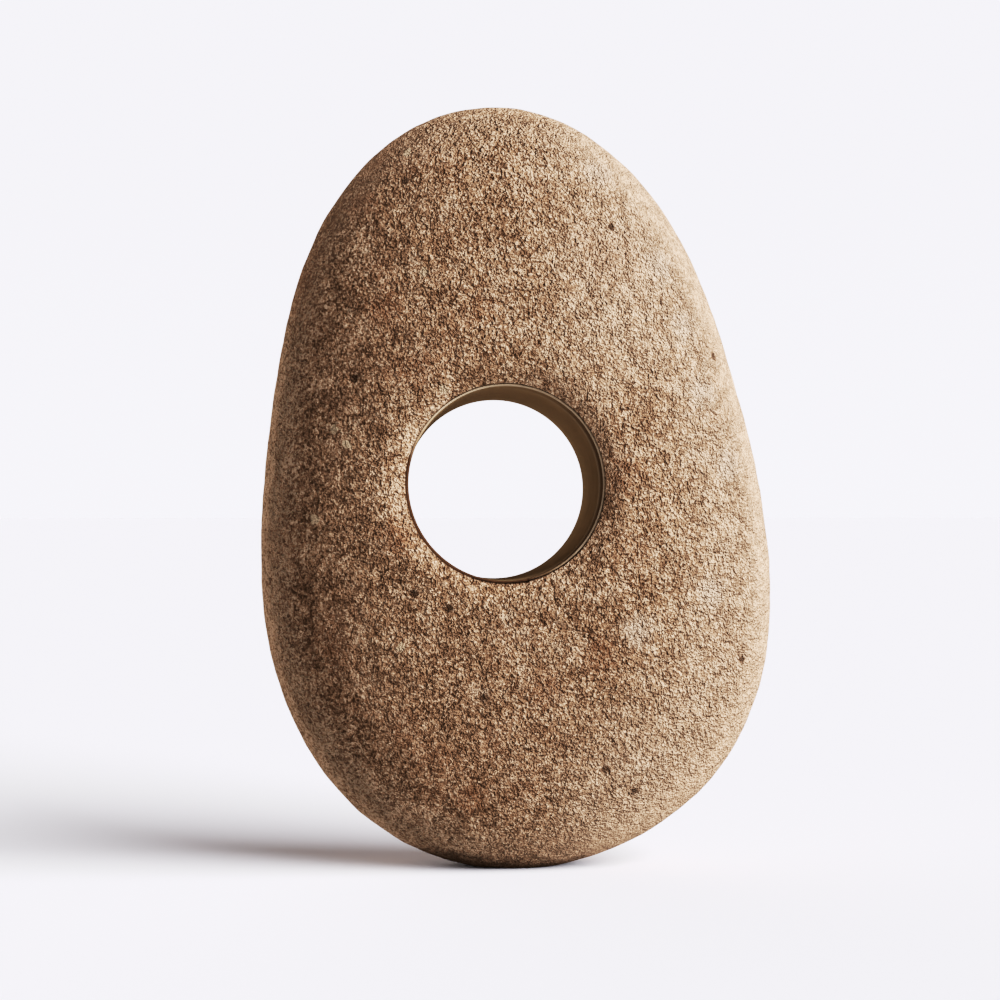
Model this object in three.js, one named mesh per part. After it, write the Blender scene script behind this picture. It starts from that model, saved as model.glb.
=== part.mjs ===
// A river stone with a round hole: an egg-shaped, flattened pebble of sandstone,
// worn smooth, bored through the middle, and standing on its broad end.
// Millimetres, +Z up. The pierced front face looks along -Y. The origin is on the
// surface that the stone stands on, under the middle of the stone.

import * as THREE from 'three';
import { ParametricGeometry } from 'three/addons/geometries/ParametricGeometry.js';
import { mergeVertices } from 'three/addons/utils/BufferGeometryUtils.js';

// Outline, seen from the front: how far the rim lies from the hole's centre, every
// 22.5 degrees, counter-clockwise from the right.
const OUTLINE_RADII = [
  35.0, 34.4, 38.3, 45.7, 50.5, 46.5, 38.1, 32.5,
  31.4, 34.3, 40.4, 47.3, 50.8, 50.2, 46.2, 39.5,
];
const HOLE_HEIGHT = 50.4;
const LEAN = THREE.MathUtils.degToRad(1.5);

// Section through the thickness: how far each face swells from the middle plane, how
// flat its crown is, and how blunt its rim is. The rim is blunter towards the base.
const FRONT_BULGE = 14.5;
const BACK_BULGE = 13.5;
const CROWN_POWER = 2.6;
const RIM_POWER = 2.0;
const BASE_RIM_POWER = 2.8;
const BASE_FOCUS = 4;

// The hole, and how its mouths are worn open.
const HOLE_RADIUS_FRONT = 12.5;
const HOLE_RADIUS_BACK = 12.3;
const MOUTH_WIDTH = 4.6;
const MOUTH_DEPTH = 1.6;
const MOUTH_POWER = 2.3;
const EDGE_BEVEL = 0.3;

// Slow swells of the worn faces, as a share of the bulge.
const SWELL_SHARE = 0.018;
const SWELLS = [
  { lengthX: 41, lengthZ: 67, phase: 0.6 },
  { lengthX: -29, lengthZ: 38, phase: 2.1 },
  { lengthX: 53, lengthZ: -31, phase: 4.4 },
];

// Half the height over which the rounded end runs into its flat foot.
const FOOT_BLEND = 0.1;

// How finely the surface is stepped. The steps crowd towards the stone's two ends,
// and towards the hole's mouths.
const STEPS_ROUND_THE_HOLE = 96;
const STEPS_PER_FACE = 22;
const STEPS_THROUGH_THE_HOLE = 4;
const CROWDING_AT_THE_ENDS = 0.18;
const CROWDING_AT_THE_MOUTH = 1.3;
const WELD_DISTANCE = 1e-3;
const SMALLEST_TANGENT = 1e-9;

const STONE_COLOUR = 0x8e6d52;

// Smooth closed curve through the evenly spaced radii: trigonometric interpolation.
function outlineRadius(angle) {
  const count = OUTLINE_RADII.length;
  return OUTLINE_RADII.reduce((sum, radius, i) => {
    const turn = angle - (2 * Math.PI * i) / count;
    const tangent = Math.tan(turn / 2);
    if (Math.abs(tangent) < SMALLEST_TANGENT) return sum + radius;
    return sum + (radius * Math.sin((count * turn) / 2)) / (count * tangent);
  }, 0);
}

function swell(x, z) {
  const wave = (w) => Math.sin(2 * Math.PI * (x / w.lengthX + z / w.lengthZ) + w.phase);
  const sum = SWELLS.reduce((total, w) => total + wave(w), 0);
  return (SWELL_SHARE * sum) / SWELLS.length;
}

// How far the worn face stands from the stone's middle plane, before the hole's mouth.
function faceHeight(bulge, radius, angle) {
  const share = Math.min(radius / outlineRadius(angle), 1);
  const towardsBase = Math.max(-Math.sin(angle), 0) ** BASE_FOCUS;
  const power = THREE.MathUtils.lerp(RIM_POWER, BASE_RIM_POWER, towardsBase);
  const x = radius * Math.cos(angle);
  const z = radius * Math.sin(angle);
  return bulge * (1 + swell(x, z)) * (1 - share ** CROWN_POWER) ** (1 / power);
}

function mouthDip(fromWall) {
  return MOUTH_DEPTH * Math.max(1 - fromWall / MOUTH_WIDTH, 0) ** MOUTH_POWER;
}

// A point of one face: side is -1 at the front and 1 at the back, and reach runs from
// 0 at the hole's bevel to 1 at the rim.
function facePoint(side, reach, angle) {
  const wall = side < 0 ? HOLE_RADIUS_FRONT : HOLE_RADIUS_BACK;
  const bulge = side < 0 ? FRONT_BULGE : BACK_BULGE;
  const spread = Math.sin((Math.PI / 2) * reach ** CROWDING_AT_THE_MOUTH);
  const radius = THREE.MathUtils.lerp(wall + EDGE_BEVEL, outlineRadius(angle), spread);
  return { radius, depth: side * (faceHeight(bulge, radius, angle) - mouthDip(radius - wall)) };
}

// A point of the hole's wall, from the back bevel at 0 to the front bevel at 1.
function wallPoint(reach, angle) {
  const back = facePoint(1, 0, angle).depth - EDGE_BEVEL;
  const front = facePoint(-1, 0, angle).depth + EDGE_BEVEL;
  return {
    radius: THREE.MathUtils.lerp(HOLE_RADIUS_BACK, HOLE_RADIUS_FRONT, reach),
    depth: THREE.MathUtils.lerp(back, front, reach),
  };
}

function between(a, b, share) {
  return {
    radius: THREE.MathUtils.lerp(a.radius, b.radius, share),
    depth: THREE.MathUtils.lerp(a.depth, b.depth, share),
  };
}

// One trip round the section: front face out to the rim, back face in, and the wall.
const STEPS_ROUND_THE_SECTION = 2 * STEPS_PER_FACE + STEPS_THROUGH_THE_HOLE + 2;
function sectionPoint(step, angle) {
  if (step <= STEPS_PER_FACE) return facePoint(-1, step / STEPS_PER_FACE, angle);
  if (step <= 2 * STEPS_PER_FACE) return facePoint(1, 2 - step / STEPS_PER_FACE, angle);
  const bevelStep = step - 2 * STEPS_PER_FACE;
  if (bevelStep < 1) return between(facePoint(1, 0, angle), wallPoint(0, angle), bevelStep);
  const wallStep = bevelStep - 1;
  if (wallStep <= STEPS_THROUGH_THE_HOLE) return wallPoint(wallStep / STEPS_THROUGH_THE_HOLE, angle);
  return between(wallPoint(1, angle), facePoint(-1, 0, angle), wallStep - STEPS_THROUGH_THE_HOLE);
}

// Runs the rounded end smoothly into the flat foot that the stone stands on.
function standOnFoot(height) {
  if (height >= FOOT_BLEND) return height;
  return Math.max(height + FOOT_BLEND, 0) ** 2 / (4 * FOOT_BLEND);
}

// Going clockwise round the hole, seen from the front, makes the faces point outwards.
function stoneSurface(u, v, target) {
  const turn = -2 * Math.PI * u;
  const angle = turn + CROWDING_AT_THE_ENDS * Math.sin(2 * turn);
  const { radius, depth } = sectionPoint(v * STEPS_ROUND_THE_SECTION, angle);
  const height = HOLE_HEIGHT + radius * Math.sin(angle) - depth * Math.tan(LEAN);
  target.set(radius * Math.cos(angle), depth, standOnFoot(height));
}

// The closed surface, its seams welded, moved so that the origin is under its middle.
function stoneGeometry() {
  const surface = new ParametricGeometry(stoneSurface, STEPS_ROUND_THE_HOLE, STEPS_ROUND_THE_SECTION);
  surface.deleteAttribute('normal');
  surface.deleteAttribute('uv');
  const geometry = mergeVertices(surface, WELD_DISTANCE);
  geometry.computeBoundingBox();
  const middle = geometry.boundingBox.getCenter(new THREE.Vector3());
  geometry.translate(-middle.x, -middle.y, 0);
  geometry.computeVertexNormals();
  return geometry;
}

const stone = new THREE.Mesh(
  stoneGeometry(),
  new THREE.MeshStandardMaterial({ color: STONE_COLOUR, roughness: 0.9, metalness: 0 }),
);
stone.name = 'stone';

const riverStone = new THREE.Group();
riverStone.add(stone);

export default riverStone;
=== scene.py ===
# A river stone with a round hole: brown sandstone, worn smooth, standing on a pale studio floor.
# Metres, +Z up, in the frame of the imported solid. The pierced front face looks along -Y.
import math

import bpy
import numpy as np
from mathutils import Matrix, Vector


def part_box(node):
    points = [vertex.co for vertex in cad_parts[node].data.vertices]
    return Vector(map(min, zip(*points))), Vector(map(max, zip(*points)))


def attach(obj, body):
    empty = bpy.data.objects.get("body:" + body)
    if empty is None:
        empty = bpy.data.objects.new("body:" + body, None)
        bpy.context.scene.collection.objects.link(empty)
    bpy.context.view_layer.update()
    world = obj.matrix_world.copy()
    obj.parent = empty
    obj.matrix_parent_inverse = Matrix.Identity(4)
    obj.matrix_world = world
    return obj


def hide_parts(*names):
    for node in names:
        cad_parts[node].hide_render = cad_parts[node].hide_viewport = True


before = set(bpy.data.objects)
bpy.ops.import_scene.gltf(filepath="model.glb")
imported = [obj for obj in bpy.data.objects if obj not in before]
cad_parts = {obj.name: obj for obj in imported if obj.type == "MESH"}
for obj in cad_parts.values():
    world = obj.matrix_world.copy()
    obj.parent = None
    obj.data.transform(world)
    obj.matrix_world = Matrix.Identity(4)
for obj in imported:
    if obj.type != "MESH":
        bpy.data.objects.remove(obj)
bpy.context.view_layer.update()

MM = 0.001

# Outline, seen from the front: how far the rim lies from the hole's centre, every 22.5 degrees,
# counter-clockwise from the right.
OUTLINE_RADII_MM = (
    35.0, 34.4, 38.3, 45.7, 50.5, 46.5, 38.1, 32.5,
    31.4, 34.3, 40.4, 47.3, 50.8, 50.2, 46.2, 39.5,
)
OUTLINE_RADII = [radius * MM for radius in OUTLINE_RADII_MM]
HOLE_HEIGHT = 50.4 * MM
LEAN = math.radians(1.5)

# Section through the thickness.
FRONT_BULGE = 14.5 * MM
BACK_BULGE = 13.5 * MM
CROWN_POWER = 2.6
RIM_POWER = 2.0
BASE_RIM_POWER = 2.8
BASE_FOCUS = 4
SMALLEST_TANGENT = 1e-9

# The hole and its worn mouths.
HOLE_RADIUS_FRONT = 12.5 * MM
HOLE_RADIUS_BACK = 12.3 * MM
MOUTH_WIDTH = 4.6 * MM
MOUTH_DEPTH = 1.6 * MM
MOUTH_POWER = 2.3
EDGE_BEVEL = 0.3 * MM

# A shallow groove that the drill left in the wall on the right, darkened with painted shade: how far behind
# the front edge its pale back shoulder lies, how far behind the edge the groove starts and ends, how deep it
# is cut, and how dark it is painted.
SHOULDER_BEHIND_EDGE = 4.6 * MM
GROOVE_BEHIND_EDGE = (3.7 * MM, 1.1 * MM)
GROOVE_CUT = 0.16 * MM
GROOVE_PAINTED_SHADE = 0.7
SHOULDER_PALENESS = 0.25

# The front edge is a pale line, partly a pale worn edge and partly a painted highlight, palest at this angle,
# and a
# line of painted shade on the far side: how fast each sets in with the cosine of the angle from there, where
# it starts, and its strength at most.
EDGE_PALEST_AT = math.radians(45)
PALE_LIT_EDGE = (2, 0.7, 0.9)
SHADED_EDGE = (-3, -0.6, 1)

# Slow swells of the worn faces: length along X, length along Z, and phase.
SWELL_SHARE = 0.018
SWELLS = ((41 * MM, 67 * MM, 0.6), (-29 * MM, 38 * MM, 2.1), (53 * MM, -31 * MM, 4.4))

FOOT_BLEND = 0.1 * MM

# How finely the surface is stepped: round the hole, out along each face, and through the hole.
STEPS_ROUND = 480
STEPS_FACE = 84
STEPS_WALL = 32
CROWDING_AT_THE_ENDS = 0.14
CROWDING_AT_THE_MOUTH = 1.3

# The most visible marks on the front face: how far right of the hole's centre and how far above it, in mm.
PITS = (
    (-19.5, 13.5), (-12, -14), (14, 33.5), (-13, 39.5), (13, -37), (17, -40),
    (28, 17), (31.5, -23), (-7.5, -16), (-3, -27.5),
)
PALE_GRAINS = ((-8, 12), (-20.5, 5), (-22, 7), (-24.5, -4.5), (-12.5, 43.5), (-10.5, 27), (-13.5, -21))
PALE_PATCHES = ((20.5, 28.5), (23.5, 20.5), (26, 12), (29.5, 2.5), (27, -14), (17, -19), (12.5, 41))
RUSTY_PATCHES = ((-14, -6.5), (15.5, 1), (12, -22.5), (5, -26.5), (-15.5, 22.5), (-18.5, 36.5), (-4.5, -40.5))
PIT_REACH = 0.5 * MM
PALE_GRAIN_REACH = 0.6 * MM
PALE_PATCH_REACH = 2.1 * MM
RUSTY_PATCH_REACH = 2.3 * MM


# The rule of the stone's surface


def outline_radius(angle):
    """Smooth closed curve through the evenly spaced radii: trigonometric interpolation."""
    count = len(OUTLINE_RADII)
    total = np.zeros_like(angle)
    for index, radius in enumerate(OUTLINE_RADII):
        half_turn = (angle - 2 * math.pi * index / count) / 2
        tangent = np.tan(half_turn)
        at_the_point = np.abs(tangent) < SMALLEST_TANGENT
        tangent = np.where(at_the_point, 1.0, tangent)
        total += radius * np.where(at_the_point, 1.0, np.sin(count * half_turn) / (count * tangent))
    return total


def swell(x, z):
    waves = [np.sin(2 * math.pi * (x / along_x + z / along_z) + phase) for along_x, along_z, phase in SWELLS]
    return SWELL_SHARE * sum(waves) / len(SWELLS)


def face_height(bulge, radius, angle):
    """How far the worn face stands from the middle plane, before the hole's mouth."""
    share = np.minimum(radius / outline_radius(angle), 1)
    towards_base = np.maximum(-np.sin(angle), 0) ** BASE_FOCUS
    power = RIM_POWER + (BASE_RIM_POWER - RIM_POWER) * towards_base
    waves = 1 + swell(radius * np.cos(angle), radius * np.sin(angle))
    return bulge * waves * (1 - share**CROWN_POWER) ** (1 / power)


def mouth_dip(from_wall):
    return MOUTH_DEPTH * np.maximum(1 - from_wall / MOUTH_WIDTH, 0) ** MOUTH_POWER


def face_point(side, reach, angle):
    """Radius and depth on one face: side is -1 at the front, reach is 0 at the hole and 1 at the rim."""
    wall = HOLE_RADIUS_FRONT if side < 0 else HOLE_RADIUS_BACK
    bulge = FRONT_BULGE if side < 0 else BACK_BULGE
    spread = np.sin(math.pi / 2 * reach**CROWDING_AT_THE_MOUTH)
    radius = wall + EDGE_BEVEL + (outline_radius(angle) - wall - EDGE_BEVEL) * spread
    return radius, side * (face_height(bulge, radius, angle) - mouth_dip(radius - wall))


def wall_point(reach, angle):
    """Radius and depth on the hole's wall, from the back edge at 0 to the front edge at 1."""
    back = face_point(1, 0 * angle, angle)[1] - EDGE_BEVEL
    front = face_point(-1, 0 * angle, angle)[1] + EDGE_BEVEL
    return HOLE_RADIUS_BACK + (HOLE_RADIUS_FRONT - HOLE_RADIUS_BACK) * reach, back + (front - back) * reach


class Section:
    """One trip round the section, row by row: radius, depth, and the masks bored, edge, partly a painted
    highlight, and the dark line of painted shade.
    """

    def __init__(self, angle):
        self.angle = angle
        self.rows = []

    def add(self, radius, depth, bored=0.0, edge=0.0, shade_line=0.0):
        self.rows.append([value + 0 * self.angle for value in (radius, depth, bored, edge, shade_line)])

    def layers(self):
        """Radius, depth, bored, edge and the dark line of painted shade, each by angle and row."""
        return np.transpose(self.rows, (1, 2, 0))


def edge_line(angle, slope, start, most):
    """How strongly a line shows along the front edge of the hole: the pale line, partly a painted highlight,
    and the dark line of painted shade.
    """
    return np.clip(slope * np.cos(angle - EDGE_PALEST_AT) + start, 0, most)


def stone_section(angle):
    """Front face out to the rim, back face in, wall from back to front, and the drilled front edge."""
    section = Section(angle)
    # The front edge's pale line is partly a painted highlight; its dark line on the far side is painted
    # shade.
    pale_lit_edge = edge_line(angle, *PALE_LIT_EDGE)
    shaded_edge = edge_line(angle, *SHADED_EDGE)
    for step in range(STEPS_FACE + 1):
        place = face_point(-1, step / STEPS_FACE + 0 * angle, angle)
        section.add(*place, shade_line=shaded_edge * float(step == 0))
    for step in range(1, STEPS_FACE + 1):
        section.add(*face_point(1, 1 - step / STEPS_FACE + 0 * angle, angle))
    radius, depth = wall_point(1.0, angle)
    wall_length = wall_point(0.0, angle)[1] - depth
    to_shoulder = 1 - SHOULDER_BEHIND_EDGE / wall_length
    on_the_right = np.maximum(np.cos(angle), 0)
    for step in range(STEPS_WALL):
        section.add(*wall_point(to_shoulder * step / STEPS_WALL, angle), bored=1.0)
    section.add(radius, depth + SHOULDER_BEHIND_EDGE, bored=1.0, edge=SHOULDER_PALENESS * on_the_right)
    cut = radius + GROOVE_CUT * on_the_right
    for behind in GROOVE_BEHIND_EDGE:
        # The groove is darkened with painted shade.
        section.add(cut, depth + behind, bored=1.0, shade_line=GROOVE_PAINTED_SHADE * on_the_right)
    # The front edge row: its pale line, partly a painted highlight, and its line of painted shade.
    section.add(radius, depth, bored=1.0, edge=pale_lit_edge, shade_line=shaded_edge)
    return section


def stand_on_foot(height):
    """Runs the rounded end smoothly into the flat foot."""
    worn = np.maximum(height + FOOT_BLEND, 0) ** 2 / (4 * FOOT_BLEND)
    return np.where(height >= FOOT_BLEND, height, worn)


def placed(radius, depth, angle):
    """Points of the stone before it is centred: the hole's axis falls towards the back."""
    height = HOLE_HEIGHT + radius * np.sin(angle) - depth * math.tan(LEAN)
    return np.stack([radius * np.cos(angle), depth, stand_on_foot(height)], axis=-1)


def nearness(points, on_the_front, places, reach):
    """How near each point is to a mark: 1 at its middle, 0 at twice its reach and beyond."""
    near = np.zeros(points.shape[:2])
    for across, above in places:
        x, z = np.array([across * MM]), np.array([above * MM])
        radius, angle = np.hypot(x, z), np.arctan2(z, x)
        depth = mouth_dip(radius - HOLE_RADIUS_FRONT) - face_height(FRONT_BULGE, radius, angle)
        away = np.linalg.norm(points - placed(radius, depth, angle)[0], axis=-1)
        near = np.maximum(near, 1 - away / (2 * reach))
    return near * on_the_front


def stone_mesh():
    """The smooth stone as one closed mesh, in the frame of the solid, with a mask for each kind of place."""
    turn = -2 * math.pi * np.arange(STEPS_ROUND) / STEPS_ROUND
    angle = turn + CROWDING_AT_THE_ENDS * np.sin(2 * turn)
    radius, depth, bored, edge, shade_line = stone_section(angle).layers()
    angles = np.repeat(angle[:, None], radius.shape[1], axis=1)
    points = placed(radius, depth, angles)
    on_the_front = (depth < 0) & (bored == 0)
    masks = {
        "bored": bored,
        "edge": edge,
        "shade_line": shade_line,
        "rim": np.clip(radius / outline_radius(angles), 0, 1),
        "mouth": np.clip(1 - (radius - HOLE_RADIUS_FRONT) / MOUTH_WIDTH, 0, 1),
        "front": on_the_front.astype(float),
        "pit": nearness(points, on_the_front, PITS, PIT_REACH),
        "grain": nearness(points, on_the_front, PALE_GRAINS, PALE_GRAIN_REACH),
        "pale": nearness(points, on_the_front, PALE_PATCHES, PALE_PATCH_REACH),
        "rusty": nearness(points, on_the_front, RUSTY_PATCHES, RUSTY_PATCH_REACH),
    }
    middle = (points.min(axis=(0, 1)) + points.max(axis=(0, 1))) / 2
    solid_low, solid_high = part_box("stone")
    points[..., 0] += (solid_low.x + solid_high.x) / 2 - middle[0]
    points[..., 1] += (solid_low.y + solid_high.y) / 2 - middle[1]

    count = radius.shape[1]
    here = np.arange(STEPS_ROUND)[:, None] * count + np.arange(count)[None, :]
    along = np.roll(here, -1, axis=0)
    quads = np.stack([here, along, np.roll(along, -1, axis=1), np.roll(here, -1, axis=1)], axis=-1)
    mesh = bpy.data.meshes.new("smooth_stone")
    mesh.from_pydata(points.reshape(-1, 3).tolist(), [], quads.reshape(-1, 4).tolist())
    for name, values in masks.items():
        layer = mesh.attributes.new(name, "FLOAT", "POINT")
        layer.data.foreach_set("value", values.ravel().astype(np.float32))
    mesh.shade_smooth()
    return mesh


# Node helpers

# Sockets of the Mix node where it mixes colours.
MIX_FACTOR, MIX_FIRST, MIX_SECOND = 0, 6, 7
MIX_RESULT = 2

# Which way the seed of a noise moves it.
SEED_STEP = (1.0, 0.7, -1.3)
MIDDLE_OF_NOISE = 0.5


def add(tree, kind, inputs=None, **settings):
    """Adds a node with its settings, and feeds its inputs with values or with other nodes' outputs."""
    made = tree.nodes.new(kind)
    for name, value in settings.items():
        setattr(made, name, value)
    for name, value in (inputs or {}).items():
        feed(tree, made.inputs[name], value)
    return made


def feed(tree, socket, value):
    if isinstance(value, bpy.types.NodeSocket):
        tree.links.new(value, socket)
    else:
        socket.default_value = value


def math_node(tree, operation, *values):
    return add(tree, "ShaderNodeMath", dict(enumerate(values)), operation=operation).outputs[0]


def vector_node(tree, operation, *values):
    return add(tree, "ShaderNodeVectorMath", dict(enumerate(values)), operation=operation).outputs[0]


def product(tree, first, *others):
    for other in others:
        first = math_node(tree, "MULTIPLY", first, other)
    return first


def one_less(tree, value):
    return math_node(tree, "SUBTRACT", 1.0, value)


def weighted_sum(tree, *terms):
    """Sum of value times weight, over pairs of them."""
    total = math_node(tree, "MULTIPLY", *terms[0])
    for value, weight in terms[1:]:
        total = math_node(tree, "MULTIPLY_ADD", value, weight, total)
    return total


def ramp(tree, value, low, high, to_low=0.0, to_high=1.0, kind="SMOOTHSTEP"):
    """A value brought from low..high to another range, and held at its ends."""
    inputs = {"Value": value, "From Min": low, "From Max": high, "To Min": to_low, "To Max": to_high}
    return add(tree, "ShaderNodeMapRange", inputs, interpolation_type=kind).outputs["Result"]


def fall(tree, value, low, high, most=1.0, kind="SMOOTHSTEP"):
    """The most at low and below, and nothing at high and above."""
    return ramp(tree, value, low, high, most, 0.0, kind)


def eased(tree, mask, to_low, to_high):
    """A mask eased in and out, brought from 0..1 to another range."""
    return ramp(tree, mask, 0.0, 1.0, to_low, to_high)


def blend_colour(tree, factor, first, second):
    made = add(tree, "ShaderNodeMix", data_type="RGBA")
    for socket, value in ((MIX_FACTOR, factor), (MIX_FIRST, first), (MIX_SECOND, second)):
        feed(tree, made.inputs[socket], value)
    return made.outputs[MIX_RESULT]


def noise(tree, vector, size, detail=2.0, roughness=0.5, seed=0.0):
    """Noise whose lumps are about size metres across; seed moves it to another place."""
    moved = vector_node(tree, "ADD", vector, tuple(seed * step for step in SEED_STEP))
    inputs = {"Vector": moved, "Scale": 1 / size, "Detail": detail, "Roughness": roughness}
    return add(tree, "ShaderNodeTexNoise", inputs).outputs["Fac"]


def attribute(tree, name):
    return add(tree, "ShaderNodeAttribute", attribute_name=name).outputs["Fac"]


# River wear: hollows, lumps, pits and standing grains, by Geometry Nodes

WEAR_SIZES = {
    "Pit spacing": 9.5 * MM,
    "Pit reach": 0.95 * MM,
    "Pit depth": 0.30 * MM,
    "Grain spacing": 8.0 * MM,
    "Grain reach": 1.1 * MM,
    "Grain height": 0.07 * MM,
    "Hollow height": 0.34 * MM,
    "Lump height": 0.20 * MM,
    "Worn away": 0.125 * MM,
}
MARK_CANDIDATES_PER_AREA = 1 / (2.5 * MM) ** 2
PIT_SEED = 3
GRAIN_SEED = 8
GRAIN_TOP = 0.8
HOLLOWS = {"size": 6.5 * MM, "detail": 1.0, "seed": 0.6}
LUMPS = {"size": 2.4 * MM, "detail": 1.5, "seed": 0.3}

# A scattered mark's outline wobbles: the size and range of the noise, and how far it draws the outline in.
MARK_WOBBLE_SIZE = 0.9 * MM
MARK_WOBBLE_NOISE = (0.3, 0.7)
MARK_WOBBLE = (0.7, 2.2)

# The foot stays flat: the wear sets in over this height.
WEAR_STARTS = 1.2 * MM


def river_wear_tree(sandstone):
    tree = bpy.data.node_groups.new("River wear", "GeometryNodeTree")
    face = tree.interface
    face.new_socket("Geometry", in_out="INPUT", socket_type="NodeSocketGeometry")
    for name, value in WEAR_SIZES.items():
        face.new_socket(name, in_out="INPUT", socket_type="NodeSocketFloat").default_value = value
    face.new_socket("Geometry", in_out="OUTPUT", socket_type="NodeSocketGeometry")
    enter = tree.nodes.new("NodeGroupInput").outputs
    leave = tree.nodes.new("NodeGroupOutput")
    position = add(tree, "GeometryNodeInputPosition").outputs[0]
    normal = add(tree, "GeometryNodeInputNormal").outputs[0]

    def stored(name):
        return add(tree, "GeometryNodeInputNamedAttribute", {"Name": name}, data_type="FLOAT").outputs[0]

    height = add(tree, "ShaderNodeSeparateXYZ", {0: position}).outputs["Z"]
    off_the_foot = ramp(tree, height, 0.0, WEAR_STARTS)
    off_the_wall = one_less(tree, math_node(tree, "MAXIMUM", stored("bored"), stored("edge")))
    weathered = product(tree, off_the_wall, off_the_foot)
    off_the_front = one_less(tree, stored("front"))

    def scattered(spacing, reach, seed):
        """Marks scattered away from the front face: 1 at a mark's middle, 0 at its reach."""
        marks = add(
            tree,
            "GeometryNodeDistributePointsOnFaces",
            {
                "Mesh": enter["Geometry"],
                "Distance Min": spacing,
                "Density Max": MARK_CANDIDATES_PER_AREA,
                "Density Factor": off_the_front,
                "Seed": seed,
            },
            distribute_method="POISSON",
        ).outputs["Points"]
        near = add(tree, "GeometryNodeProximity", {"Geometry": marks}, target_element="POINTS")
        wobble = noise(tree, position, MARK_WOBBLE_SIZE, seed=float(seed))
        wobble = ramp(tree, wobble, *MARK_WOBBLE_NOISE, *MARK_WOBBLE)
        away = product(tree, near.outputs["Distance"], wobble)
        return fall(tree, away, 0.0, reach, kind="LINEAR")

    marks = {
        "pit": scattered(enter["Pit spacing"], enter["Pit reach"], PIT_SEED),
        "grain": scattered(enter["Grain spacing"], enter["Grain reach"], GRAIN_SEED),
    }
    masks = {name: math_node(tree, "MAXIMUM", stored(name), mark) for name, mark in marks.items()}
    hollows = math_node(tree, "SUBTRACT", noise(tree, position, **HOLLOWS), MIDDLE_OF_NOISE)
    lumps = math_node(tree, "SUBTRACT", noise(tree, position, **LUMPS), MIDDLE_OF_NOISE)
    offset = weighted_sum(
        tree,
        (eased(tree, masks["pit"], 0.0, -1.0), enter["Pit depth"]),
        (ramp(tree, masks["grain"], 0.0, GRAIN_TOP), enter["Grain height"]),
        (hollows, enter["Hollow height"]),
        (lumps, enter["Lump height"]),
        (enter["Worn away"], -1.0),
    )
    offset = product(tree, offset, weathered)
    move = add(tree, "ShaderNodeVectorMath", {0: normal, "Scale": offset}, operation="SCALE").outputs[0]

    flow = enter["Geometry"]
    for name, mask in masks.items():
        inputs = {"Geometry": flow, "Name": name, "Value": product(tree, mask, weathered)}
        kept = add(tree, "GeometryNodeStoreNamedAttribute", inputs, data_type="FLOAT", domain="POINT")
        flow = kept.outputs[0]
    flow = add(tree, "GeometryNodeSetPosition", {"Geometry": flow, "Offset": move}).outputs[0]
    flow = add(tree, "GeometryNodeRealizeInstances", {"Geometry": flow}).outputs[0]
    flow = add(tree, "GeometryNodeSetMaterial", {"Geometry": flow, "Material": sandstone}).outputs[0]
    tree.links.new(flow, leave.inputs["Geometry"])
    return tree


def worn_stone(sandstone):
    """The stone with its river wear, as a plain mesh."""
    smooth = bpy.data.objects.new("smooth_stone", stone_mesh())
    bpy.context.collection.objects.link(smooth)
    tree = river_wear_tree(sandstone)
    wear = smooth.modifiers.new("River wear", "NODES")
    wear.node_group = tree
    for item in tree.interface.items_tree:
        if item.in_out == "INPUT" and item.name in WEAR_SIZES:
            wear[item.identifier] = WEAR_SIZES[item.name]
    evaluated = smooth.evaluated_get(bpy.context.evaluated_depsgraph_get())
    mesh = bpy.data.meshes.new_from_object(evaluated)
    mesh.name = "river_stone"
    stone = bpy.data.objects.new("river_stone", mesh)
    bpy.context.collection.objects.link(stone)
    bpy.data.objects.remove(smooth)
    return stone


# Sandstone

# The sand: its fine noise, the share of that noise in its height, and the sizes of its grains and tones.
FINE_SAND = {"size": 0.27 * MM, "detail": 1.6, "seed": 0.1}
FINE_SHARE = 0.68
GRAIN_SAND = 0.46 * MM
TONE_SAND = 0.40 * MM
SAND_HEIGHT = 3.0 * MM
MIDDLE_OF_SAND = 0.52

# Slower changes of the stone.
WORN = {"size": 1.7 * MM, "detail": 2.0, "roughness": 0.6, "seed": 0.9}
MOTTLE = {"size": 4.5 * MM, "detail": 3.0, "roughness": 0.65, "seed": 0.2}
BLOOM = {"size": 11 * MM, "detail": 2.0, "seed": 0.5}
RAGGED = {"size": 0.60 * MM, "detail": 1.0, "seed": 0.8}

# Places start and end here: the rim and the mouth as shares of their own masks, the rest in metres.
RIM = (0.82, 0.98)
SMOOTH_RIM = (0.93, 1.0)
SMOOTH_RIGHT_RIM = (0.84, 0.98)
MOUTH = (0.30, 0.90)
LIT_LIP_ACROSS = (-14 * MM, -6 * MM)
# Painted shade on the left side of the face, away from the key light.
LEFT_SIDE_SHADE_ACROSS = (-28 * MM, 0.0)
# Painted shade towards the bottom, away from the key light.
LOW_DOWN_SHADE = (0.0, 45 * MM)
LIT_WALL_UP = (50 * MM, 64 * MM)

# The stone is paler on its upper right and along its right-hand rim, where the key light falls: painted
# light, partly a bleached tone.
RIGHT_SIDE_ACROSS = (-4 * MM, 16 * MM)
BLEACHED_AND_LIT_UP = (52 * MM, 74 * MM)
BLEACHED_AND_LIT_RIM = (0.45, 0.90)

# The left-hand rim is paler below, a painted rim light, and darker above, painted shade: by how much in tone.
LEFT_RIM_ACROSS = (-18 * MM, -2 * MM)
LEFT_RIM_UP = (60 * MM, 82 * MM)
LEFT_RIM_LIGHT_AND_SHADE = (0.11, -0.06)

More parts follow.
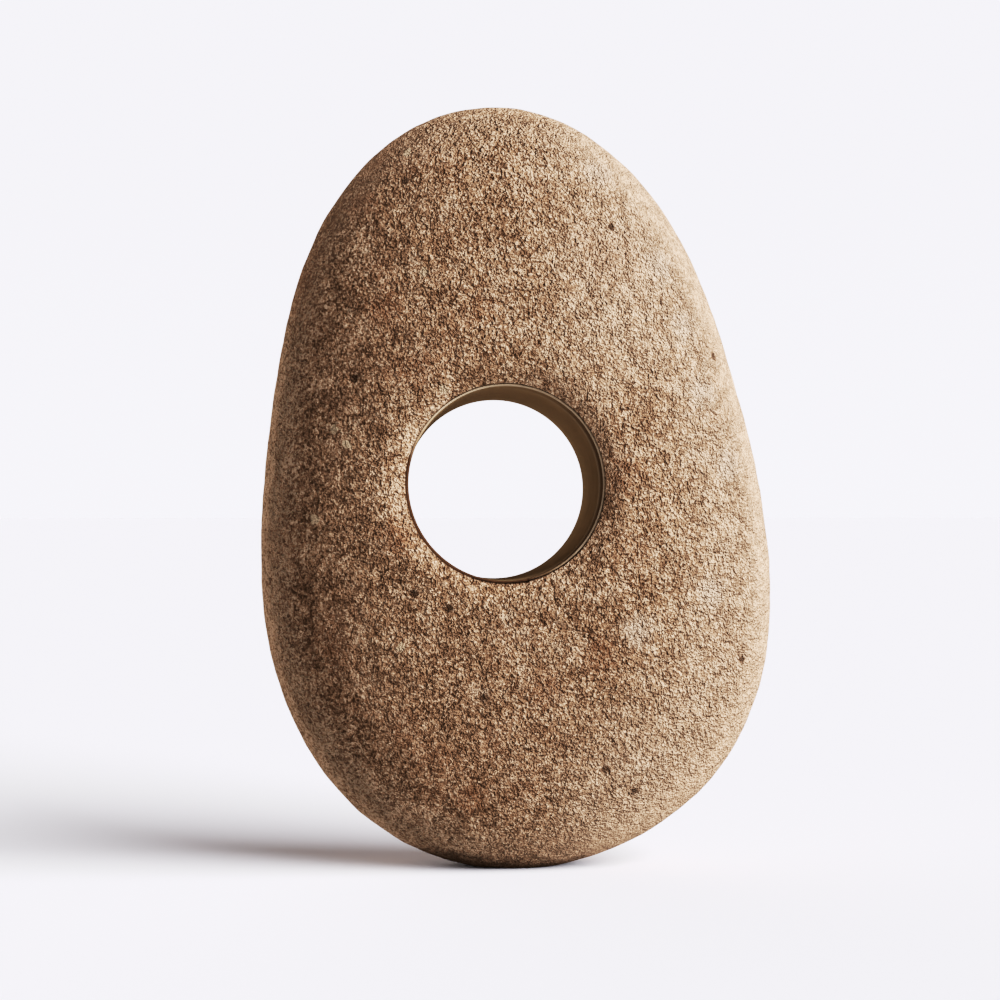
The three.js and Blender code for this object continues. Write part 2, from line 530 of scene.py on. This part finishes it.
# The bottom edge is darkened with painted shade where the stone stands, and the painted shade climbs on the
# left.
CONTACT_SHADE_HEIGHT = (1.1 * MM, 3.3 * MM)
CONTACT_SHADE_RAGGED = 1.8 * MM
CONTACT_SHADE_CLIMB = 1.6 * MM
CONTACT_SHADE_CLIMB_ACROSS = (-12 * MM, 0.0)
CONTACT_SHADE_STRENGTH = 0.85

# What each thing adds to the sand's tone, and the tones over which its colour turns brown, then pale.
TONE_WEIGHTS = {
    # The sand's height darkens the gaps between grains: painted shade.
    "height": 0.80,
    "own_tone": 0.20,
    "mottle": 0.24,
    "bloom": 0.10,
    "worn": 0.16,
    "bleached_and_lit": 0.07,
    "low_down_shade": -0.04,
    "left_side_shade": -0.045,
    "left_rim_light_and_shade": 1.0,
    "rim_grain_light_and_shade": 0.8,
    "pale": 0.10,
    "lit_lip": 0.08,
}
BROWN_TONES = (0.56, 0.76)
PALE_TONES = (0.73, 0.92)

# Marks: where each one starts and ends in its ragged mask, and how strongly it shows. The outline is
# made ragged by two noises, with these weights.
PALE_PATCH = (0.15, 1.00, 1.0)
RUSTY_PATCH = (0.30, 0.75, 0.30)
GRAIN_MARK = (0.42, 0.56, 0.80)
PIT_MARK = (0.25, 0.60, 0.80)
RAGGED_WEIGHT = 0.7
WORN_WEIGHT = 0.5

# How strongly places are tinted. The bloom is rusty where its noise lies above this range.
BLOOM_RUSTY = (0.52, 0.72)
BLOOM_TINT = 0.25
BLEACHED_AND_LIT_TINT = 0.22
# The rim's peach tint: partly a worn tone, partly a painted sheen on the limbs.
RIM_SHEEN_TINT = 0.28
# The right-hand rim is darkened with painted shade by this much.
RIGHT_RIM_SHADE_TINT = 0.35
PALE_TINT = 0.25

# What makes the wall light: its mottle, and its height.
WALL_MOTTLE = 0.6
WALL_LIT = 0.7

# How much of the sand's relief is left on the wall, the smoothest rim, worn places and the mouth, and
# where the wall's mask and the worn noise take full effect.
WALL_RELIEF = 0.03
RIM_RELIEF = 0.42
WORN_RELIEF = 0.60
MOUTH_RELIEF = 0.75
BORED_RANGE = (0.0, 0.5)
WORN_RANGE = (0.35, 0.62)

# The darkest colour, in the sand's gaps, carries painted shade between the grains.
SHADED_GAP_BROWN = (0.118, 0.064, 0.036, 1.0)
SAND_BROWN = (0.307, 0.188, 0.119, 1.0)
SAND_PALE = (0.575, 0.410, 0.298, 1.0)
# Peach of the rim, partly a painted sheen.
RIM_PEACH_SHEEN = (0.510, 0.350, 0.248, 1.0)
RIM_SHADE = (0.420, 0.292, 0.212, 1.0)
# Paler sand where the key light falls: painted light, partly a bleached tone.
BLEACHED_AND_LIT_SAND = (0.670, 0.487, 0.366, 1.0)
PALE_STONE = (0.58, 0.475, 0.395, 1.0)
RUST = (0.22, 0.100, 0.052, 1.0)
# Dark brown of the pits, and of the painted shade at the foot and in the lines at the hole's edge.
PIT_AND_SHADE_BROWN = (0.060, 0.030, 0.016, 1.0)
GRAIN_CREAM = (0.50, 0.38, 0.27, 1.0)
WALL_DARK = (0.160, 0.112, 0.064, 1.0)
WALL_LIGHT = (0.310, 0.212, 0.126, 1.0)
# Pale front edge and wall shoulder; on the front edge partly a painted highlight.
EDGE_CREAM_AND_HIGHLIGHT = (0.55, 0.45, 0.35, 1.0)


def cells(tree, place, size, feature, output):
    settings = {"Vector": place, "Scale": 1 / size}
    return add(tree, "ShaderNodeTexVoronoi", settings, feature=feature).outputs[output]


def sand(tree, place):
    """The packed sand: its height, from 0 in the gaps to 1 on the grains, and each grain's own tone."""
    domes = one_less(tree, cells(tree, place, GRAIN_SAND, "SMOOTH_F1", "Distance"))
    height = weighted_sum(tree, (noise(tree, place, **FINE_SAND), FINE_SHARE), (domes, 1 - FINE_SHARE))
    tones = cells(tree, place, TONE_SAND, "F1", "Color")
    return height, add(tree, "ShaderNodeSeparateColor", {0: tones}).outputs["Red"]


def stone_places(tree, place, worn):
    """Masks of the places that differ from the rest in tone, colour or smoothness."""
    parts = add(tree, "ShaderNodeSeparateXYZ", {0: place}).outputs
    across, up = parts["X"], parts["Z"]
    rim_share = attribute(tree, "rim")
    rim = ramp(tree, rim_share, *RIM)
    mouth = ramp(tree, attribute(tree, "mouth"), *MOUTH)
    on_the_right = ramp(tree, across, *RIGHT_SIDE_ACROSS)
    high = ramp(tree, up, *BLEACHED_AND_LIT_UP)
    high_or_rim = math_node(tree, "MAXIMUM", high, ramp(tree, rim_share, *BLEACHED_AND_LIT_RIM))
    # Painted light below and painted shade above on the left-hand rim.
    left_rim_light_and_shade = product(tree, rim, fall(tree, across, *LEFT_RIM_ACROSS))
    smooth_right = product(tree, on_the_right, ramp(tree, rim_share, *SMOOTH_RIGHT_RIM))
    # The painted shade at the foot has a ragged top and climbs on the left.
    ragged_up = math_node(tree, "MULTIPLY_ADD", worn, CONTACT_SHADE_RAGGED, up)
    contact_shade_up = math_node(tree, "SUBTRACT", ragged_up, fall(tree, across, *CONTACT_SHADE_CLIMB_ACROSS, CONTACT_SHADE_CLIMB))
    return {
        "rim": rim,
        "mouth": mouth,
        # Painted light on the upper right and the right-hand rim, partly a bleached tone.
        "bleached_and_lit": product(tree, on_the_right, high_or_rim),
        # Painted shade on the left side.
        "left_side_shade": product(tree, fall(tree, across, *LEFT_SIDE_SHADE_ACROSS), one_less(tree, rim)),
        "left_rim_light_and_shade": product(tree, left_rim_light_and_shade, ramp(tree, up, *LEFT_RIM_UP, *LEFT_RIM_LIGHT_AND_SHADE)),
        # Painted shade on the right-hand rim.
        "right_rim_shade": product(tree, rim, on_the_right),
        "lit_lip": product(tree, mouth, fall(tree, across, *LIT_LIP_ACROSS)),
        # Painted shade towards the bottom.
        "low_down_shade": fall(tree, up, *LOW_DOWN_SHADE),
        "smoothest": math_node(tree, "MAXIMUM", smooth_right, ramp(tree, rim_share, *SMOOTH_RIM)),
        # Painted shade at the foot.
        "contact_shade": fall(tree, contact_shade_up, *CONTACT_SHADE_HEIGHT, CONTACT_SHADE_STRENGTH),
        "lit_wall": ramp(tree, up, *LIT_WALL_UP),
    }


def stone_colour(tree, place, places, height, own_tone, worn):
    """The sand's colour by its tone, then one layer over another."""
    mottle = noise(tree, place, **MOTTLE)
    bloom = noise(tree, place, **BLOOM)
    ragged = noise(tree, place, **RAGGED)

    def marked(name, low, high, strength):
        """A mask from an attribute, with a grainy outline."""
        mask = attribute(tree, name)
        grainy = weighted_sum(tree, (mask, 1.0), (ragged, RAGGED_WEIGHT), (worn, WORN_WEIGHT))
        middle = (RAGGED_WEIGHT + WORN_WEIGHT) * MIDDLE_OF_NOISE
        return ramp(tree, grainy, low + middle, high + middle, 0.0, strength)

    pale = marked("pale", *PALE_PATCH)
    # Painted light and shade on the rim's grains: their tone follows their height more strongly.
    rim_grain_light_and_shade = product(tree, places["rim"], math_node(tree, "SUBTRACT", height, MIDDLE_OF_SAND))
    things = {
        **places,
        "height": height,
        "own_tone": own_tone,
        "mottle": mottle,
        "bloom": bloom,
        "worn": worn,
        "rim_grain_light_and_shade": rim_grain_light_and_shade,
        "pale": pale,
    }
    tone = weighted_sum(tree, *((things[name], weight) for name, weight in TONE_WEIGHTS.items()))
    lit_wall = weighted_sum(tree, (mottle, WALL_MOTTLE), (places["lit_wall"], WALL_LIT))
    layers = (
        (ramp(tree, tone, *BROWN_TONES), SAND_BROWN),
        (ramp(tree, tone, *PALE_TONES), SAND_PALE),
        (ramp(tree, bloom, *BLOOM_RUSTY, 0.0, BLOOM_TINT), RUST),
        (marked("rusty", *RUSTY_PATCH), RUST),
        # Painted light where the key falls, partly a bleached tone.
        (eased(tree, places["bleached_and_lit"], 0.0, BLEACHED_AND_LIT_TINT), BLEACHED_AND_LIT_SAND),
        # Peach rim: partly a worn tone, partly a painted sheen.
        (eased(tree, places["rim"], 0.0, RIM_SHEEN_TINT), RIM_PEACH_SHEEN),
        # Painted shade on the right-hand rim.
        (eased(tree, places["right_rim_shade"], 0.0, RIGHT_RIM_SHADE_TINT), RIM_SHADE),
        (eased(tree, pale, 0.0, PALE_TINT), PALE_STONE),
        (marked("grain", *GRAIN_MARK), GRAIN_CREAM),
        (marked("pit", *PIT_MARK), PIT_AND_SHADE_BROWN),
        # Painted shade along the bottom edge, where the stone stands.
        (places["contact_shade"], PIT_AND_SHADE_BROWN),
        (attribute(tree, "bored"), blend_colour(tree, lit_wall, WALL_DARK, WALL_LIGHT)),
        # Lines of painted shade: in the drilled groove and along the far side of the front edge.
        (attribute(tree, "shade_line"), PIT_AND_SHADE_BROWN),
        # Pale front edge, partly a painted highlight, and the pale shoulder in the wall.
        (attribute(tree, "edge"), EDGE_CREAM_AND_HIGHLIGHT),
    )
    # Start from the dark gaps, partly painted shade.
    colour = SHADED_GAP_BROWN
    for mask, layer in layers:
        colour = blend_colour(tree, mask, colour, layer)
    return colour


def stone_relief(tree, places, height, worn):
    """The sand's height, worn down on the wall, the rim and the mouth."""
    weathered = ramp(tree, attribute(tree, "bored"), *BORED_RANGE, 1.0, WALL_RELIEF)
    polished = eased(tree, places["smoothest"], 1.0, RIM_RELIEF)
    rough = ramp(tree, worn, *WORN_RANGE, 1.0, WORN_RELIEF)
    rubbed = eased(tree, places["mouth"], 1.0, MOUTH_RELIEF)
    return product(tree, height, product(tree, weathered, polished, rough, rubbed))


def sandstone_material():
    material = bpy.data.materials.new("river_sandstone")
    material.use_nodes = True
    tree = material.node_tree
    tree.nodes.clear()
    place = add(tree, "ShaderNodeTexCoord").outputs["Object"]
    worn = noise(tree, place, **WORN)
    places = stone_places(tree, place, worn)
    height, own_tone = sand(tree, place)
    colour = stone_colour(tree, place, places, height, own_tone, worn)
    relief = stone_relief(tree, places, height, worn)
    bump = add(tree, "ShaderNodeBump", {"Height": relief, "Distance": SAND_HEIGHT, "Strength": 1.0})
    shader = add(tree, "ShaderNodeBsdfPrincipled", {"Base Color": colour, "Normal": bump.outputs["Normal"]})
    shader.inputs["Roughness"].default_value = 1.0
    shader.inputs["Specular IOR Level"].default_value = 0.0
    end = tree.nodes.new("ShaderNodeOutputMaterial")
    tree.links.new(shader.outputs[0], end.inputs["Surface"])
    return material


# Studio

FLOOR_HALF_WIDTH = 6.0
FLOOR_WHITE = (0.893, 0.887, 0.966, 1.0)
FLOOR_BOUNCE = (0.50, 0.49, 0.475, 1.0)
KEY_AZIMUTH = math.radians(58)
KEY_ELEVATION = math.radians(27)
KEY_SPREAD = math.radians(52)
KEY_STRENGTH = 5.9
BACKDROP = (0.912, 0.897, 0.965, 1.0)
BACKDROP_LOW = (0.932, 0.920, 0.985, 1.0)
BACKDROP_BLEND = (0.0, 0.15)
BACK_LIGHT = (1.74, 1.57, 1.42, 1.0)
BACK_LIGHT_SIDE = (-0.64, 0.77, 0.0)
BACK_LIGHT_SPREAD = (0.22, 0.82)
BACK_LIGHT_TOP = (0.24, 0.78)
DARK_STUDIO = (0.03, 0.03, 0.03, 1.0)

# How the camera renders light, by the curve for all colours: scene brightness, and the brightness that
# the picture shows.
ALL_COLOURS = 3
CAMERA_RESPONSE = (
    (0.0, 0.0), (0.028, 0.023), (0.056, 0.056), (0.112, 0.147), (0.20, 0.322),
    (0.34, 0.54), (0.56, 0.735), (0.90, 0.905), (1.0, 0.96),
)


def pale_floor_material():
    """White paper to the eye; the light that it throws back at the stone is flagged down."""
    material = bpy.data.materials.new("pale_studio_floor")
    material.use_nodes = True
    tree = material.node_tree
    shader = tree.nodes["Principled BSDF"]
    seen = add(tree, "ShaderNodeLightPath").outputs["Is Camera Ray"]
    tree.links.new(blend_colour(tree, seen, FLOOR_BOUNCE, FLOOR_WHITE), shader.inputs["Base Color"])
    shader.inputs["Roughness"].default_value = 1.0
    shader.inputs["Specular IOR Level"].default_value = 0.0
    return material


def direction_to(azimuth, elevation):
    """Unit vector from the stone towards a point at this azimuth (0 is the front) and elevation."""
    across = math.cos(elevation)
    return Vector((math.sin(azimuth) * across, -math.cos(azimuth) * across, math.sin(elevation)))


def aim(thing, back):
    thing.rotation_mode = "QUATERNION"
    thing.rotation_quaternion = back.to_track_quat("Z", "Y")


def pale_floor():
    half = FLOOR_HALF_WIDTH
    corners = [(-half, -half, 0), (half, -half, 0), (half, half, 0), (-half, half, 0)]
    mesh = bpy.data.meshes.new("studio_floor")
    mesh.from_pydata(corners, [], [(0, 1, 2, 3)])
    mesh.materials.append(pale_floor_material())
    floor = bpy.data.objects.new("studio_floor", mesh)
    bpy.context.collection.objects.link(floor)


def key_light():
    light = bpy.data.lights.new("key", "SUN")
    light.energy = KEY_STRENGTH
    light.angle = KEY_SPREAD
    lamp = bpy.data.objects.new("key", light)
    bpy.context.collection.objects.link(lamp)
    aim(lamp, direction_to(KEY_AZIMUTH, KEY_ELEVATION))


def surround():
    """A glow low down at the back left in a dark studio. The camera sees a pale sweep instead."""
    world = bpy.data.worlds.new("studio")
    bpy.context.scene.world = world
    world.use_nodes = True
    tree = world.node_tree
    tree.nodes.clear()
    direction = add(tree, "ShaderNodeTexCoord").outputs["Generated"]
    parts = add(tree, "ShaderNodeSeparateXYZ", {0: direction})
    inputs = {0: direction, 1: BACK_LIGHT_SIDE}
    to_the_back_left = add(tree, "ShaderNodeVectorMath", inputs, operation="DOT_PRODUCT").outputs["Value"]
    low = fall(tree, parts.outputs["Z"], *BACK_LIGHT_TOP)
    lit = product(tree, ramp(tree, to_the_back_left, *BACK_LIGHT_SPREAD), low)
    lighting = blend_colour(tree, lit, DARK_STUDIO, BACK_LIGHT)
    seen = add(tree, "ShaderNodeLightPath").outputs["Is Camera Ray"]
    sweep = blend_colour(tree, ramp(tree, parts.outputs["Z"], *BACKDROP_BLEND), BACKDROP_LOW, BACKDROP)
    background = add(tree, "ShaderNodeBackground", {"Color": blend_colour(tree, seen, lighting, sweep)})
    end = tree.nodes.new("ShaderNodeOutputWorld")
    tree.links.new(background.outputs[0], end.inputs["Surface"])


# The camera is level, and looks at the hole from a little to the left. Lens and sensor are in mm.
CAMERA_PLACE = (-23.7 * MM, -313.7 * MM, 48.6 * MM)
CAMERA_AZIMUTH = math.radians(-3.9)
LENS = 85.0
SENSOR = 36.0
NEAREST_SEEN = 0.01
FARTHEST_SEEN = 50.0


def camera():
    data = bpy.data.cameras.new("camera")
    data.lens = LENS
    data.sensor_width = SENSOR
    data.clip_start = NEAREST_SEEN
    data.clip_end = FARTHEST_SEEN
    seat = bpy.data.objects.new("camera", data)
    bpy.context.collection.objects.link(seat)
    seat.location = CAMERA_PLACE
    aim(seat, direction_to(CAMERA_AZIMUTH, 0.0))
    bpy.context.scene.camera = seat


def camera_response():
    """A film-like curve from scene brightness to picture brightness, the same for red, green and blue."""
    view = bpy.context.scene.view_settings
    view.view_transform = "Standard"
    view.look = "None"
    view.use_curve_mapping = True
    points = view.curve_mapping.curves[ALL_COLOURS].points
    points[0].location = CAMERA_RESPONSE[0]
    points[-1].location = CAMERA_RESPONSE[-1]
    for scene_light, picture_light in CAMERA_RESPONSE[1:-1]:
        points.new(scene_light, picture_light)
    view.curve_mapping.update()


camera()
stone = worn_stone(sandstone_material())
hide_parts("stone")
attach(stone, "root")
pale_floor()
key_light()
surround()
camera_response()
